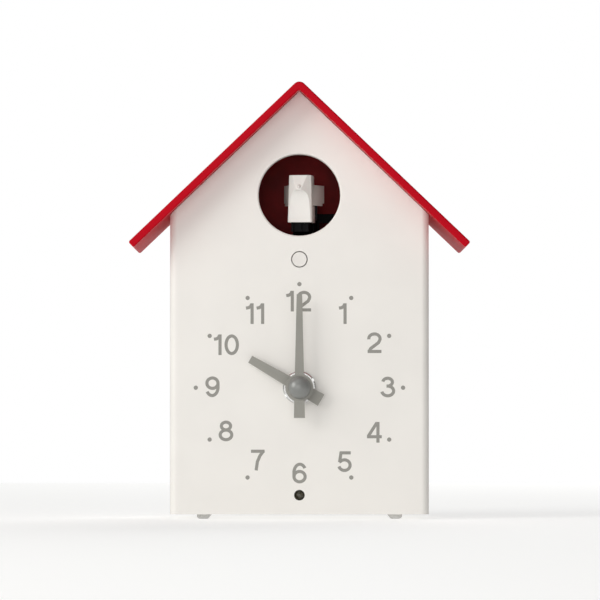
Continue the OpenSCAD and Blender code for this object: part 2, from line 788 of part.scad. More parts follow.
module flap_solenoid() {
    color("dimgray") at_bird() difference() {
        union() {
            box([-4.6, 8.6, rod_z - 5.2], [4.6, 9.6, rod_z + 4.6]);
            box([-4.6, 17.6, rod_z - 5.2], [4.6, 18.6, rod_z + 4.6]);
            box([-4.6, 8.6, rod_z - 5.2], [4.6, 18.6, rod_z - 4.4]);
            rod_y(4, 9.6, 17.6, 0, rod_z);
        }
        rod_y(0.9, 8, 18, 0, rod_z);
    }
}

module bird_carriage() {
    rack_y = [axle_y - 3, axle_y + 20.5];
    sled_y = rim_back + bird_travel + 0.3;
    beam_z = floor_top + 3.2;
    pitch = PI * rack_m;
    color("black") difference() {
        union() {
            at_bird() {
                box([-3.8, -5, beam_z], [3.8, 14, bird_foot]);
                box([-3, -3.6, bird_foot - 0.5], [3, 3.6, bird_foot + 3]);
                box([-4.6, 8.6, beam_z], [4.6, 18.6, rod_z - 5.2]);
            }
            box([-7, sled_y, floor_top + 0.3], [9, 14, floor_top + 2.6]);
            box([-3, sled_y, floor_top + 2.4], [6.4, -0.8, beam_z + 0.3]);
            box([4, 2, floor_top + 2.4], [9, 6, 135.7]);
            box([7, 2, 131.7], [18.6, 6, 135.7]);
            box([-3.4, sled_y, pitch_z + 1], [3.4, 14, floor_top + 0.5]);
            box([-3, rack_y[0], pitch_z + 0.85], [3, rack_y[1], chamber_floor - 0.4]);
            translate([3, 0, 0]) rotate([90, 0, -90]) linear_extrude(6)
                for (i = [-1:7]) translate([-(axle_y + (i + 0.5) * pitch), pitch_z])
                    polygon([[-rack_m, 1], [-0.64 * rack_m, -0.1], [-0.36 * rack_m, -0.62],
                             [0.36 * rack_m, -0.62], [0.64 * rack_m, -0.1], [rack_m, 1]]);
        }
        at_bird() for (side = [-1, 1])
            sided_box(side, [0.7, -6, beam_z - 0.1], [2.9, -4.2, bird_foot - 0.6]);
    }
}

// Moves a shape drawn in X and Z about the movement's axis to the bird's drive, whose axles lie along X
module across(x0, x1, y, z) {
    translate([x0, y, z]) rotate([90, 0, 90]) linear_extrude(x1 - x0) children();
}

module drive_axle() {
    color("white") {
        rod_x(1, -7.4, 12.3, axle_y, axle_z);
        across(-3, 3, axle_y, axle_z) polygon(gear_points(pinion_n, rack_m, 90));
    }
}

module drive_gear() {
    color("white") difference() {
        union() {
            across(7.8, 10.2, axle_y, axle_z) polygon(gear_points(drive_n, drive_m, 0));
            rod_x(2.4, 6.8, 11, axle_y, axle_z);
        }
        rod_x(1, 6, 12, axle_y, axle_z);
    }
}

module motor() {
    color("silver") difference() {
        union() {
            rod_x(6, motor_x, motor_x + 15, motor_y, motor_z);
            rod_x(2.5, motor_x - 1.4, motor_x + 0.5, motor_y, motor_z);
            rod_x(2, motor_x + 15, motor_x + 16, motor_y, motor_z);
        }
        rod_x(0.8, motor_x - 2, motor_x + 3, motor_y, motor_z);
    }
}

module motor_pinion() {
    color("gold") {
        rod_x(0.75, 7.2, motor_x + 2.5, motor_y, motor_z);
        across(7.6, 10.4, motor_y, motor_z)
            polygon(gear_points(motor_n, drive_m, mesh_phase(drive_n, 0, motor_n, -30)));
    }
}

module speaker_frame() {
    color("silver") turned_y([[15.4, cover_y - 1.6], [17.9, cover_y - 1.6], [17.9, cover_y - 0.1],
        [14.6, cover_y - 0.1], [14.6, cover_y - 1.3], [8.4, cover_y - 6.8], [8.4, cover_y - 8],
        [9.4, cover_y - 8], [9.4, cover_y - 7]], speaker_x, speaker_z);
}

module speaker_magnet() {
    color("dimgray") difference() {
        turned_y([[0, cover_y - 13], [8.6, cover_y - 13], [9.2, cover_y - 12.4], [9.2, cover_y - 8.05],
                  [0, cover_y - 8.05]], speaker_x, speaker_z);
        difference() {
            rod_y(5, cover_y - 11, cover_y - 7, speaker_x, speaker_z);
            rod_y(4, cover_y - 12, cover_y - 6, speaker_x, speaker_z);
        }
    }
}

module speaker_cone() {
    color("black") turned_y([[0, cover_y - 4.6], [3, cover_y - 4.9], [4.4, cover_y - 5.8],
        [13.2, cover_y - 1.25], [14.6, cover_y - 1.05], [14.6, cover_y - 0.7], [13.2, cover_y - 0.8],
        [4.4, cover_y - 5.2], [3, cover_y - 4.3], [0, cover_y - 4]], speaker_x, speaker_z);
}

module main_board() {
    color("green") difference() {
        box([4, board_y, 82], [51, board_y + board_t, 117.5]);
        for (p = board_holes) rod_y(1.2, board_y - 1, board_y + 3, p[0], p[1]);
    }
}

module board_parts() {
    y1 = board_y;
    color("black") {
        box([18, y1 - 1.8, 92], [26, y1, 104]);
        box([36, y1 - 1.6, 90], [42, y1, 98]);
        for (x = [27, 34]) rod_y(2.5, y1 - 7, y1, x, 111);
        rod_y(3.4, y1 - 9, y1, 44, 106);
        for (z = [90, 98, 106]) box([5.5, y1 - 4, z], [9.5, y1, z + 6]);
        box([volume_x - 5, y1 + board_t, volume_z - 5], [volume_x + 5, y1 + board_t + 4, volume_z + 5]);
    }
}

module volume_knob() {
    color("white") difference() {
        union() {
            rod_y(1.8, board_y + board_t + 4.1, cover_y + 0.4, volume_x, volume_z);
            along_y(cover_y + 0.1, back_y + 1.2) translate([volume_x, volume_z]) difference() {
                circle(volume_r);
                for (i = [0:19]) rotate(i * 18) translate([volume_r + 0.25, 0]) circle(r = 0.6, $fn = 16);
            }
        }
        box([volume_x - 0.5, back_y + 0.7, volume_z], [volume_x + 0.5, back_y + 2, volume_z + 6]);
    }
}

module board_screws() {
    color("silver") for (p = board_holes) {
        rod_y(1, board_y - 0.2, board_y + 6, p[0], p[1]);
        rod_y(2, board_y - 1.2, board_y - 0.02, p[0], p[1]);
    }
}

// One cell along X; its nub points to the side given
module cell(i) {
    side = i % 2 == 0 ? 1 : -1;
    z = cell_z0 + i * cell_pitch;
    half = cell_len / 2;
    shift = -side * 0.2;
    rod_x(cell_r, -half + shift, half + shift, cell_y, z);
    rod_x(2.6, shift + (side > 0 ? half : -half - 1.4), shift + (side > 0 ? half + 1.4 : -half), cell_y, z);
}

module cells() {
    color("gray") for (i = [0:2]) cell(i);
}

// Tube swept along points, with flat ends
module tube(points, r, n) {
    last = len(points) - 1;
    function along(i) = let (v = points[min(i + 1, last)] - points[max(i - 1, 0)]) v / norm(v);
    function up(t) = abs(t[2]) < 0.9 ? [0, 0, 1] : [1, 0, 0];
    function across_dir(i) = let (t = along(i), s = cross(t, up(t))) s / norm(s);
    rings = [for (i = [0:last]) let (t = along(i), u = across_dir(i), v = cross(u, t))
        for (k = [0:n - 1]) points[i] + r * (u * cos(k * 360 / n) + v * sin(k * 360 / n))];
    sides = [for (i = [0:last - 1], k = [0:n - 1]) let (a = i * n + k, b = i * n + (k + 1) % n)
        each [[a, b, b + n], [a, b + n, a + n]]];
    polyhedron(rings, concat(sides, [[for (k = [n - 1:-1:0]) k], [for (k = [0:n - 1]) last * n + k]]));
}

// Conical coil that presses on a cell's flat end
module contact_spring(side, z) {
    turns = 3;
    steps = 14;
    x0 = side * (bay_x - 0.75);
    x1 = side * (cell_len / 2 + 0.2 + 0.45);
    tube([for (i = [0:turns * steps]) let (f = i / (turns * steps), a = f * turns * 360, r = 4.6 - 1.8 * f)
        [x0 + (x1 - x0) * f, cell_y + r * cos(a), z + r * sin(a)]], 0.35, 6);
}

module contact_springs() {
    color("silver") for (i = [0:2]) contact_spring(i % 2 == 0 ? -1 : 1, cell_z0 + i * cell_pitch);
}

module contact_plates() {
    color("silver") for (side = [-1, 1], i = [0:2])
        sided_box(side, [bay_x - 0.35, cell_y - 5, cell_z0 + i * cell_pitch - 6],
            [bay_x, cell_y + 5, cell_z0 + i * cell_pitch + 6]);
}

// Eases the corners of a hand-laid route
function eased(p, f = 0.3) = [for (i = [0:len(p) - 1])
    each (i == 0 || i == len(p) - 1) ? [p[i]] : let (a = p[i - 1], b = p[i], c = p[i + 1])
        [b + (a - b) * f, b + (a - b) * f * 0.35 + (c - b) * f * 0.35, b + (c - b) * f]];

// Each route leaves and arrives square to the part that it joins
wire_routes = [
    [[27.65, 1.5, 112], [32, 1.5, 112], [35, 9, 108], [30, 16, 103], [9, 18, 94.5], [7.5, 20, 94.5],
     [7.5, 22.9, 94.5]],
    [[27.65, 7.5, 106], [32, 7.5, 106], [34, 13, 100], [29, 16, 96], [9, 18, 91.5], [7.5, 20, 91.5],
     [7.5, 22.9, 91.5]],
    [[-18.8, 27, 101], [-15.5, 27, 101], [-12, 21, 101.5], [-6, 18, 102], [5.5, 18, 102.5],
     [7.5, 19.6, 102.5], [7.5, 22.9, 102.5]],
    [[-18.95, 27, 97.5], [-15.5, 27, 97.5], [-12, 21, 97.5], [-6, 18, 98], [5.5, 18, 99.5],
     [7.5, 19.6, 99.5], [7.5, 22.9, 99.5]],
    [[20, -11.35, 35], [20, -9, 35], [23, -4, 44], [24, 2, 60], [23, 10, 82], [17.5, 11.8, 99],
     [9.5, 17, 109], [7.5, 19.6, 109], [7.5, 22.9, 109]],
    [[6, -19.05, 114], [6, -17, 114], [8, -15, 108], [22, -13.5, 99], [31, -3, 94], [22, 11.9, 101],
     [15, 14.5, 108], [9.5, 16.6, 110.8], [7.5, 19.2, 110.8], [7.5, 22.9, 110.8]],
    [[6, -20.75, 12], [6, -18.5, 12], [14, -16, 14], [25, -9, 22], [28, -4, 42], [28, 7, 74],
     [24.5, 12.5, 90], [15, 15.3, 100], [9.5, 18.2, 107.2], [7.5, 20, 107.2], [7.5, 22.9, 107.2]],
];

module wire_harness() {
    color("red") for (route = wire_routes) tube(eased(route), 0.55, 6);
}

front_housing();
roof_panel();
rear_cover();
battery_door();
foot(-1, -17);  // foot_front_left
foot(1, -17);  // foot_front_right
foot(-1, 30);  // foot_rear_left
foot(1, 30);  // foot_rear_right
case_screws();
roof_screws();
hour_hand();
minute_hand();
hand_cap();
dial_nut();
front_button();
switch_plunger();
switch_body();
switch_board();
sensor_lens();
light_sensor();
sensor_board();
movement_case_front();
movement_case_rear();
middle_plate();
minute_arbor();
hour_wheel();
minute_wheel();
time_set_knob();
centre_wheel();
third_wheel();
seconds_wheel();
fifth_wheel();
rotor();
stator();
stator_coil();
movement_board();
bird_chamber();
chamber_screws();
bird_body();
wing(-1);  // wing_left
wing(1);  // wing_right
wing_pins();
wing_rod();
flap_solenoid();
bird_carriage();
drive_axle();
drive_gear();
motor();
motor_pinion();
speaker_frame();
speaker_magnet();
speaker_cone();
main_board();
board_parts();
volume_knob();
board_screws();
cells();
contact_springs();
contact_plates();
wire_harness();
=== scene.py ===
import json
import math

import bmesh
import bpy
from mathutils import Matrix, Vector


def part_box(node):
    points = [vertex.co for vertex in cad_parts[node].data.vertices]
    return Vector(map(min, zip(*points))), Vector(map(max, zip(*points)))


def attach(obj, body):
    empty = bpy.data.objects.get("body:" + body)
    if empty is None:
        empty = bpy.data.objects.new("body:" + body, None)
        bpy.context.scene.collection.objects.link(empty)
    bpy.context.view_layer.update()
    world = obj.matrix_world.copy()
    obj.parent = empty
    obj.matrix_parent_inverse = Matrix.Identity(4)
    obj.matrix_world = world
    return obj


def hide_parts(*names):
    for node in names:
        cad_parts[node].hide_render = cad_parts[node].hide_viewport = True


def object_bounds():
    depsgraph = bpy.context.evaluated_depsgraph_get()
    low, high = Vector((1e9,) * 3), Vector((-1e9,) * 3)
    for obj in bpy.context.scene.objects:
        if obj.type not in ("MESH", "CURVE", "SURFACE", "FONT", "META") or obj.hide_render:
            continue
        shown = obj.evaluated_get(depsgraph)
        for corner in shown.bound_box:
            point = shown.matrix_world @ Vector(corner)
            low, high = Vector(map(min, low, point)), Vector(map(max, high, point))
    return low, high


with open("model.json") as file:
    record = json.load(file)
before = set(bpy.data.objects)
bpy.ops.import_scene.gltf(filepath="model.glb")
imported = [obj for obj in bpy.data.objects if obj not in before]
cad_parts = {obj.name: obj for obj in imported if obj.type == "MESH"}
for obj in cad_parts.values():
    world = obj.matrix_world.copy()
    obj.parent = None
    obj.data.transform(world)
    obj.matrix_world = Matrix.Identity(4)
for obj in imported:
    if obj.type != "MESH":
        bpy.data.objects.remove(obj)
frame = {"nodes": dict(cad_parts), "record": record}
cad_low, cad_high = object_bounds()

MM = 0.001
RECORD = frame["record"]
BODY_OF = {node: body for body, nodes in RECORD["behaviour"]["bodies"].items() for node in nodes}
SLOT_OF = {part["node"]: part["material_slot"] for part in RECORD["subparts"]}
scene = bpy.context.scene


# ---------------------------------------------------------------- camera, light and floor

def aim(thing, target):
    """Turns a camera or a light, whose front is its own -Z, to a point."""
    thing.rotation_euler = (Vector(target) - thing.location).to_track_quat("-Z", "Y").to_euler()


LENS = 283.1                  # focal length and sensor width, in millimetres
SENSOR = 36
CAMERA_ACROSS = 0.26 * MM
CAMERA_AWAY = 2.064           # from the front of the roof
CAMERA_HEIGHT = 45.5 * MM
CAMERA_AIM = 96.2 * MM        # height of the point that it looks at


def make_camera():
    """A long lens a little above the table, looking slightly up at the middle of the clock."""
    front = cad_low[1]
    camera = bpy.data.objects.new("camera", bpy.data.cameras.new("camera"))
    camera.data.lens = LENS
    camera.data.sensor_width = SENSOR
    camera.data.clip_end = 20
    camera.location = (CAMERA_ACROSS, front - CAMERA_AWAY, CAMERA_HEIGHT)
    aim(camera, (CAMERA_ACROSS, front, CAMERA_AIM))
    scene.collection.objects.link(camera)
    scene.camera = camera


def soft_light(name, place, target, size, watts, tint):
    """A square soft box that shines at target."""
    lamp = bpy.data.lights.new(name, "AREA")
    lamp.shape = "SQUARE"
    lamp.size = size
    lamp.energy = watts
    lamp.color = tint
    light = bpy.data.objects.new(name, lamp)
    light.location = place
    aim(light, target)
    scene.collection.objects.link(light)


WORLD_BRIGHTEST = (-0.55, -0.82, 0.10)      # direction that most of the room's light comes from
WORLD_STRENGTH = (0.02, 0.40)               # away from that direction and towards it
WORLD_TINT = (1.0, 0.99, 0.965, 1)


def make_world():
    """White to look at; as a light, bright from the front and left and dim from the right."""
    world = bpy.data.worlds.new("studio")
    scene.world = world
    world.use_nodes = True
    nodes, links = world.node_tree.nodes, world.node_tree.links
    seen = nodes["Background"]
    seen.inputs["Color"].default_value = (1, 1, 1, 1)
    seen.inputs["Strength"].default_value = 1.0
    lit = nodes.new("ShaderNodeBackground")
    lit.inputs["Color"].default_value = WORLD_TINT
    place = nodes.new("ShaderNodeTexCoord")
    towards = nodes.new("ShaderNodeVectorMath")
    towards.operation = "DOT_PRODUCT"
    towards.inputs[1].default_value = Vector(WORLD_BRIGHTEST).normalized()
    strength = nodes.new("ShaderNodeMapRange")
    for socket, value in zip(("From Min", "From Max", "To Min", "To Max"), (-1, 1, *WORLD_STRENGTH)):
        strength.inputs[socket].default_value = value
    path_kind = nodes.new("ShaderNodeLightPath")
    choose = nodes.new("ShaderNodeMixShader")
    links.new(place.outputs["Generated"], towards.inputs[0])
    links.new(towards.outputs["Value"], strength.inputs["Value"])
    links.new(strength.outputs["Result"], lit.inputs["Strength"])
    links.new(path_kind.outputs["Is Camera Ray"], choose.inputs[0])
    links.new(lit.outputs[0], choose.inputs[1])
    links.new(seen.outputs[0], choose.inputs[2])
    links.new(choose.outputs[0], nodes["World Output"].inputs["Surface"])


# Each lamp's name, place from the middle of the front, size, watts and tint
LAMPS = (
    ("key", (-1.235, -0.95, 0.589), 0.9, 12, (1.0, 0.99, 0.97)),
    ("fill", (-0.25, -1.7, 0.05), 0.9, 5.4, (1, 1, 1)),
    ("above", (-0.35, -0.75, 1.15), 0.7, 1.6, (1, 1, 1)),
    ("back", (0.4, 1.642, 1.01), 1.2, 14, (1, 1, 1)),
)
MIDDLE_HEIGHT = 0.09
FLOOR_REACH = 1.1
FLOOR_GLOW = 0.50


def make_floor():
    """A sheet of white paper that gives off a little light of its own."""
    bm = bmesh.new()
    bmesh.ops.create_grid(bm, x_segments=1, y_segments=1, size=FLOOR_REACH)
    mesh = bpy.data.meshes.new("floor")
    bm.to_mesh(mesh)
    bm.free()
    floor = bpy.data.objects.new("floor", mesh)
    scene.collection.objects.link(floor)
    paper = Finish("floor_paper", (0.60, 0.60, 0.59), roughness=0.9,
                   emission_color=(1, 1, 1, 1), emission_strength=FLOOR_GLOW)
    mesh.materials.append(paper.material)


def make_studio():
    """A large soft key light from the left, weaker lamps round the clock, and the paper floor."""
    make_world()
    middle = Vector((0, cad_low[1], MIDDLE_HEIGHT))
    for name, place, size, watts, tint in LAMPS:
        soft_light(name, middle + Vector(place), middle, size, watts, tint)
    make_floor()
    scene.view_settings.view_transform = "Standard"


# ---------------------------------------------------------------- finishes

class Value:
    """One output of a node. Arithmetic on it adds Math nodes."""

    def __init__(self, finish, socket):
        self.finish = finish
        self.socket = socket

    def math(self, operation, *others, clamp=False):
        settings = {"operation": operation, "use_clamp": clamp}
        return self.finish.node("ShaderNodeMath", settings, (self, *others))

    def __add__(self, other):
        return self.math("ADD", other)

    def __sub__(self, other):
        return self.math("SUBTRACT", other)

    def __rsub__(self, other):
        return self.finish.node("ShaderNodeMath", {"operation": "SUBTRACT"}, (other, self))

    def __mul__(self, other):
        return self.math("MULTIPLY", other)

    def __truediv__(self, other):
        return self.math("DIVIDE", other)

    __radd__ = __add__

    def clipped(self):
        """Kept between 0 and 1."""
        return self.math("ADD", 0, clamp=True)

    def ramp(self, low, high):
        """0 at low, 1 at high, with a soft start and end."""
        settings = {"interpolation_type": "SMOOTHSTEP"}
        sockets = {"Value": self, "From Min": low, "From Max": high}
        return self.finish.node("ShaderNodeMapRange", settings, sockets)


class Finish:
    """A material on a Principled shader."""

    def __init__(self, name, color, roughness=0.4, **fixed):
        self.material = bpy.data.materials.new(name)
        self.material.use_nodes = True
        self.tree = self.material.node_tree
        self.shader = self.tree.nodes["Principled BSDF"]
        self.roughness = roughness
        self.shader.inputs["Base Color"].default_value = (*color, 1)
        self.shader.inputs["Roughness"].default_value = roughness
        for name, value in fixed.items():
            socket = name.replace("_", " ").title().replace("Ior", "IOR")
            self.shader.inputs[socket].default_value = value

    def node(self, kind, settings=None, inputs=(), output=0):
        """Adds a node: its settings first, then a value or a link for each socket."""
        made = self.tree.nodes.new(kind)
        for name, value in (settings or {}).items():
            setattr(made, name, value)
        pairs = inputs.items() if isinstance(inputs, dict) else enumerate(inputs)
        for key, value in pairs:
            if isinstance(value, Value):
                self.tree.links.new(value.socket, made.inputs[key])
            else:
                made.inputs[key].default_value = value
        return Value(self, made.outputs[output])

    def feed(self, socket, value):
        self.tree.links.new(value.socket, self.shader.inputs[socket])

    def coordinates(self):
        """Object coordinates, in metres."""
        return self.node("ShaderNodeTexCoord", output="Object")

    def axis(self, letter):
        """One of the object coordinates."""
        return self.node("ShaderNodeSeparateXYZ", None, (self.coordinates(),), output=letter)

    def scaled(self, scale):
        """Object coordinates times a factor for each axis."""
        return self.node("ShaderNodeMapping", None, {"Vector": self.coordinates(), "Scale": scale})

    def noise(self, size, detail=2.0, at=None):
        """Cloudy pattern whose blobs are about size metres across."""
        sockets = {"Vector": at or self.coordinates(), "Scale": 1 / size, "Detail": detail}
        return self.node("ShaderNodeTexNoise", None, sockets)

    def cells(self, size):
        """Distance to the nearest of scattered points about size metres apart."""
        sockets = {"Vector": self.coordinates(), "Scale": 1 / size}
        return self.node("ShaderNodeTexVoronoi", None, sockets)

    def mix(self, factor, first, second):
        """Mixes two colours by a value."""
        colours = {6: first if isinstance(first, Value) else (*first, 1),
                   7: second if isinstance(second, Value) else (*second, 1)}
        return self.node("ShaderNodeMix", {"data_type": "RGBA"}, {0: factor, **colours}, output=2)

    def bump(self, height, depth):
        """Raises the surface by height times depth metres."""
        sockets = {"Height": height, "Distance": depth, "Strength": 1.0}
        return self.node("ShaderNodeBump", None, sockets)

    def vary_roughness(self, pattern, amount):
        """Lets the roughness wander about its middle by a pattern of 0 to 1."""
        self.feed("Roughness", (self.roughness + (pattern - 0.5) * amount).clipped())


def moulded(name, color, roughness, grain=0.25 * MM, depth=0.004 * MM, drift=0.02, **fixed):
    """Injection-moulded plastic: fine spark-eroded grain, slow drift in tone and gloss."""
    made = Finish(name, color, roughness, **fixed)
    slow = made.noise(28 * MM, 3)
    fine = made.noise(grain, 3)
    dark = tuple(c * (1 - 1.6 * drift) for c in color)
    light = tuple(min(1, c * (1 + drift)) for c in color)
    made.feed("Base Color", made.mix(slow.ramp(0.3, 0.7), dark, light))
    made.vary_roughness(slow * 0.6 + fine * 0.4, 0.18)
    made.feed("Normal", made.bump(fine, depth))
    return made.material


def lacquered(name, color, roughness):
    """Sprayed lacquer over plastic: faint orange peel, a few dust nibs and a clear top."""
    made = Finish(name, color, roughness, specular_ior_level=0.06)
    peel = made.noise(1.3 * MM, 2)
    slow = made.noise(35 * MM, 2)
    nib = made.cells(5 * MM).ramp(0.05, 0.0)
    deep = tuple(c * 0.93 for c in color)
    made.feed("Base Color", made.mix(slow.ramp(0.25, 0.75), deep, color))
    made.vary_roughness(slow * 0.5 + peel * 0.5, 0.14)
    made.feed("Normal", made.bump(peel + nib * 0.25, 0.012 * MM))
    return made.material


def painted(name, color, roughness, edge_highlight=None, metal_sheen=0.0):
    """Thin satin paint on stamped metal. Where the edge turns away from the front it may take a lighter
    colour, a painted highlight of light catching the cut edge.
    """
    made = Finish(name, color, roughness, metallic=metal_sheen)
    fine = made.noise(0.5 * MM, 3)
    slow = made.noise(9 * MM, 2)
    paint = made.mix(slow.ramp(0.3, 0.7), tuple(c * 0.94 for c in color), color)
    if edge_highlight:
        normal = made.node("ShaderNodeNewGeometry", output="Normal")
        forward = made.node("ShaderNodeSeparateXYZ", None, (normal,), output="Y").math("ABSOLUTE")
        # Lighter on edges that turn away from the front: painted highlight.
        paint = made.mix(forward.ramp(0.96, 0.80), paint, edge_highlight)
    made.feed("Base Color", paint)
    made.vary_roughness(fine, 0.12)
    made.feed("Normal", made.bump(fine, 0.005 * MM))
    return made.material


def metal(name, color, roughness, stretch=(1, 1, 1), grain=0.4 * MM, depth=0.004 * MM):
    """Bare metal with tool marks drawn out along one axis."""
    made = Finish(name, color, roughness, metallic=1.0)
    marks = made.noise(grain, 4, made.scaled(stretch))
    stain = made.noise(6 * MM, 3)
    made.feed("Base Color", made.mix(stain.ramp(0.35, 0.75), color, tuple(c * 0.82 for c in color)))
    made.vary_roughness(marks * 0.7 + stain * 0.3, 0.22)
    made.feed("Normal", made.bump(marks, depth))
    return made.material


def rubbery(name, color, roughness):
    """Soft elastomer, paper or cable cover with a little dust on it."""
    made = Finish(name, color, roughness)
    fine = made.noise(0.35 * MM, 4)
    dust = made.noise(2.5 * MM, 2)
    made.feed("Base Color", made.mix(dust.ramp(0.45, 0.8), color, tuple(min(1, c * 1.25) for c in color)))
    made.vary_roughness(fine, 0.2)
    made.feed("Normal", made.bump(fine, 0.01 * MM))
    return made.material


def circuit_board(name):
    """Green lacquer over copper tracks that run along the board's two directions."""
    made = Finish(name, (0.02, 0.12, 0.05), 0.32, coat_weight=0.4, coat_roughness=0.2)
    column = (made.axis("X") / (1.6 * MM)).math("FRACT")
    row = (made.axis("Z") / (2.1 * MM)).math("FRACT")
    blocks = made.node("ShaderNodeTexVoronoi", {"distance": "CHEBYCHEV", "feature": "F1"},
                       {"Vector": made.coordinates(), "Scale": 1 / (7 * MM)}, output="Color")
    pick = made.node("ShaderNodeSeparateColor", None, (blocks,))
    upright = column.ramp(0.42, 0.48) * (1 - column.ramp(0.66, 0.72))
    level = row.ramp(0.42, 0.48) * (1 - row.ramp(0.66, 0.72))
    which = pick.math("GREATER_THAN", 0.5)
    track = upright * which + level * (1 - which)
    made.feed("Base Color", made.mix(track, (0.012, 0.095, 0.04), (0.045, 0.21, 0.075)))
    made.vary_roughness(made.noise(3 * MM), 0.1)
    made.feed("Normal", made.bump(track, 0.035 * MM))
    return made.material


def wound(name, color, axis, pitch):
    """Enamelled wire wound in close turns along an axis."""
    made = Finish(name, color, 0.3, metallic=0.85)
    turn = (made.axis(axis) / pitch).math("FRACT")
    crown = (turn - 0.5).math("ABSOLUTE") * 2
    # Darker toward the gap between two turns: painted shade in the grooves.
    made.feed("Base Color", made.mix(crown.ramp(0.55, 1), color, tuple(c * 0.25 for c in color)))
    made.vary_roughness(made.noise(1 * MM), 0.15)
    made.feed("Normal", made.bump(1 - crown * crown, pitch * 0.35))
    return made.material


def smoked_lens(name):
    """Glossy dark window with a faint haze."""
    made = Finish(name, (0.035, 0.032, 0.02), 0.08, ior=1.5, coat_weight=0.5)
    haze = made.noise(0.9 * MM, 2)
    made.feed("Base Color", made.mix(haze.ramp(0.3, 0.7), (0.03, 0.028, 0.016), (0.075, 0.065, 0.04)))
    made.vary_roughness(haze, 0.06)
    made.feed("Normal", made.bump(haze, 0.003 * MM))
    return made.material


def printed(name, color):
    """Pad-printed ink with slightly uneven cover."""
    made = Finish(name, color, 0.5)
    cover = made.noise(0.45 * MM, 4)
    made.feed("Base Color", made.mix(cover.ramp(0.35, 0.65), tuple(c * 0.92 for c in color), color))
    made.vary_roughness(cover, 0.15)
    made.feed("Normal", made.bump(cover, 0.003 * MM))
    return made.material


def chamber_lining(name):
    """Dark red plastic, finely grained, dulled by moulding marks."""
    made = Finish(name, (0.30, 0.016, 0.016), 0.6, specular_ior_level=0.2)
    fine = made.noise(0.4 * MM, 3)
    slow = made.noise(12 * MM, 3)
    made.feed("Base Color", made.mix(slow.ramp(0.25, 0.75), (0.22, 0.013, 0.013), (0.36, 0.018, 0.018)))
    made.vary_roughness(slow * 0.5 + fine * 0.5, 0.2)
    made.feed("Normal", made.bump(fine, 0.01 * MM))
    return made.material


def make_finishes():
    """One material for each of the record's slots, and those of the dial's print and the cells' sleeves."""
    return {
        "case_white": moulded("case_plastic", (0.84, 0.815, 0.775), 0.36, 0.6 * MM, 0.003 * MM, 0.012),
        "cover_white": moulded("cover_plastic", (0.80, 0.775, 0.735), 0.52, 0.3 * MM, 0.012 * MM, 0.02),
        "roof_red": lacquered("roof_lacquer", (0.52, 0.0012, 0.011), 0.40),
        "foot_rubber": rubbery("foot_elastomer", (0.56, 0.555, 0.54), 0.42),
        # The hands' light edge colour is a painted highlight on their cut edges.
        "hand_grey": painted("hand_paint", (0.29, 0.282, 0.252), 0.42,
                             edge_highlight=(0.72, 0.71, 0.68)),
        "cap_grey": painted("cap_paint", (0.25, 0.255, 0.245), 0.33, metal_sheen=0.25),
        "nut_chrome": metal("nut_plating", (0.62, 0.62, 0.61), 0.26, (1, 6, 1), 0.6 * MM, 0.001 * MM),
        "button_white": moulded("button_plastic", (0.80, 0.775, 0.735), 0.34, 0.5 * MM, 0.003 * MM, 0.012),
        "switch_black": moulded("switch_plastic", (0.028, 0.028, 0.03), 0.45),
        "board_green": circuit_board("board_laminate"),
        "lens_smoked": smoked_lens("lens_smoke"),
        "sensor_tan": moulded("sensor_ceramic", (0.50, 0.33, 0.17), 0.4, 0.3 * MM, 0.01 * MM, 0.08),
        "movement_black": moulded("movement_shell", (0.04, 0.041, 0.045), 0.42),
        "movement_clear": moulded("movement_front", (0.42, 0.45, 0.47), 0.3),
        "brass": metal("turned_brass", (0.80, 0.58, 0.25), 0.24, (1, 9, 1)),
        "gear_white": moulded("gear_acetal", (0.80, 0.78, 0.71), 0.38, 0.2 * MM, 0.003 * MM, 0.03),
        "magnet_dark": metal("ferrite", (0.11, 0.11, 0.12), 0.5, grain=0.15 * MM, depth=0.012 * MM),
        "steel": metal("zinc_steel", (0.66, 0.66, 0.67), 0.28, (1, 1, 5)),
        "coil_copper": wound("coil_wire", (0.62, 0.22, 0.07), "X", 0.35 * MM),
        "chamber_red": chamber_lining("chamber_plastic"),
        "bird_white": moulded("bird_plastic", (0.83, 0.81, 0.775), 0.42, 0.4 * MM, 0.004 * MM, 0.015),
        # Greyer than the bird's plastic: painted shade for wings set back in the dark chamber.
        "wing_white": moulded("wing_plastic_shaded", (0.60, 0.57, 0.54), 0.5, 0.4 * MM, 0.004 * MM, 0.02),
        "carriage_black": moulded("carriage_plastic", (0.003, 0.003, 0.004), 0.55,
                                  specular_ior_level=0.08),
        "cone_paper": rubbery("cone_paper", (0.03, 0.03, 0.032), 0.7),
        "cell_can": metal("cell_steel", (0.72, 0.70, 0.66), 0.22, (6, 1, 1)),
        "wire_cover": rubbery("wire_insulation", (0.48, 0.03, 0.03), 0.45),
        "knob_white": moulded("knob_plastic", (0.78, 0.75, 0.70), 0.45, 0.3 * MM, 0.008 * MM, 0.02),
        "ink": printed("dial_ink", (0.30, 0.292, 0.265)),
        "sleeve": printed("cell_sleeve", (0.035, 0.05, 0.085)),
        "gold_band": metal("cell_band", (0.55, 0.27, 0.10), 0.3, (6, 1, 1)),
    }


FINISHES = make_finishes()


# ---------------------------------------------------------------- making pieces

SHADE_ANGLE = 30      # degrees beyond which an edge is shaded sharp
ROUND_ANGLE = 32      # degrees beyond which an edge is rounded


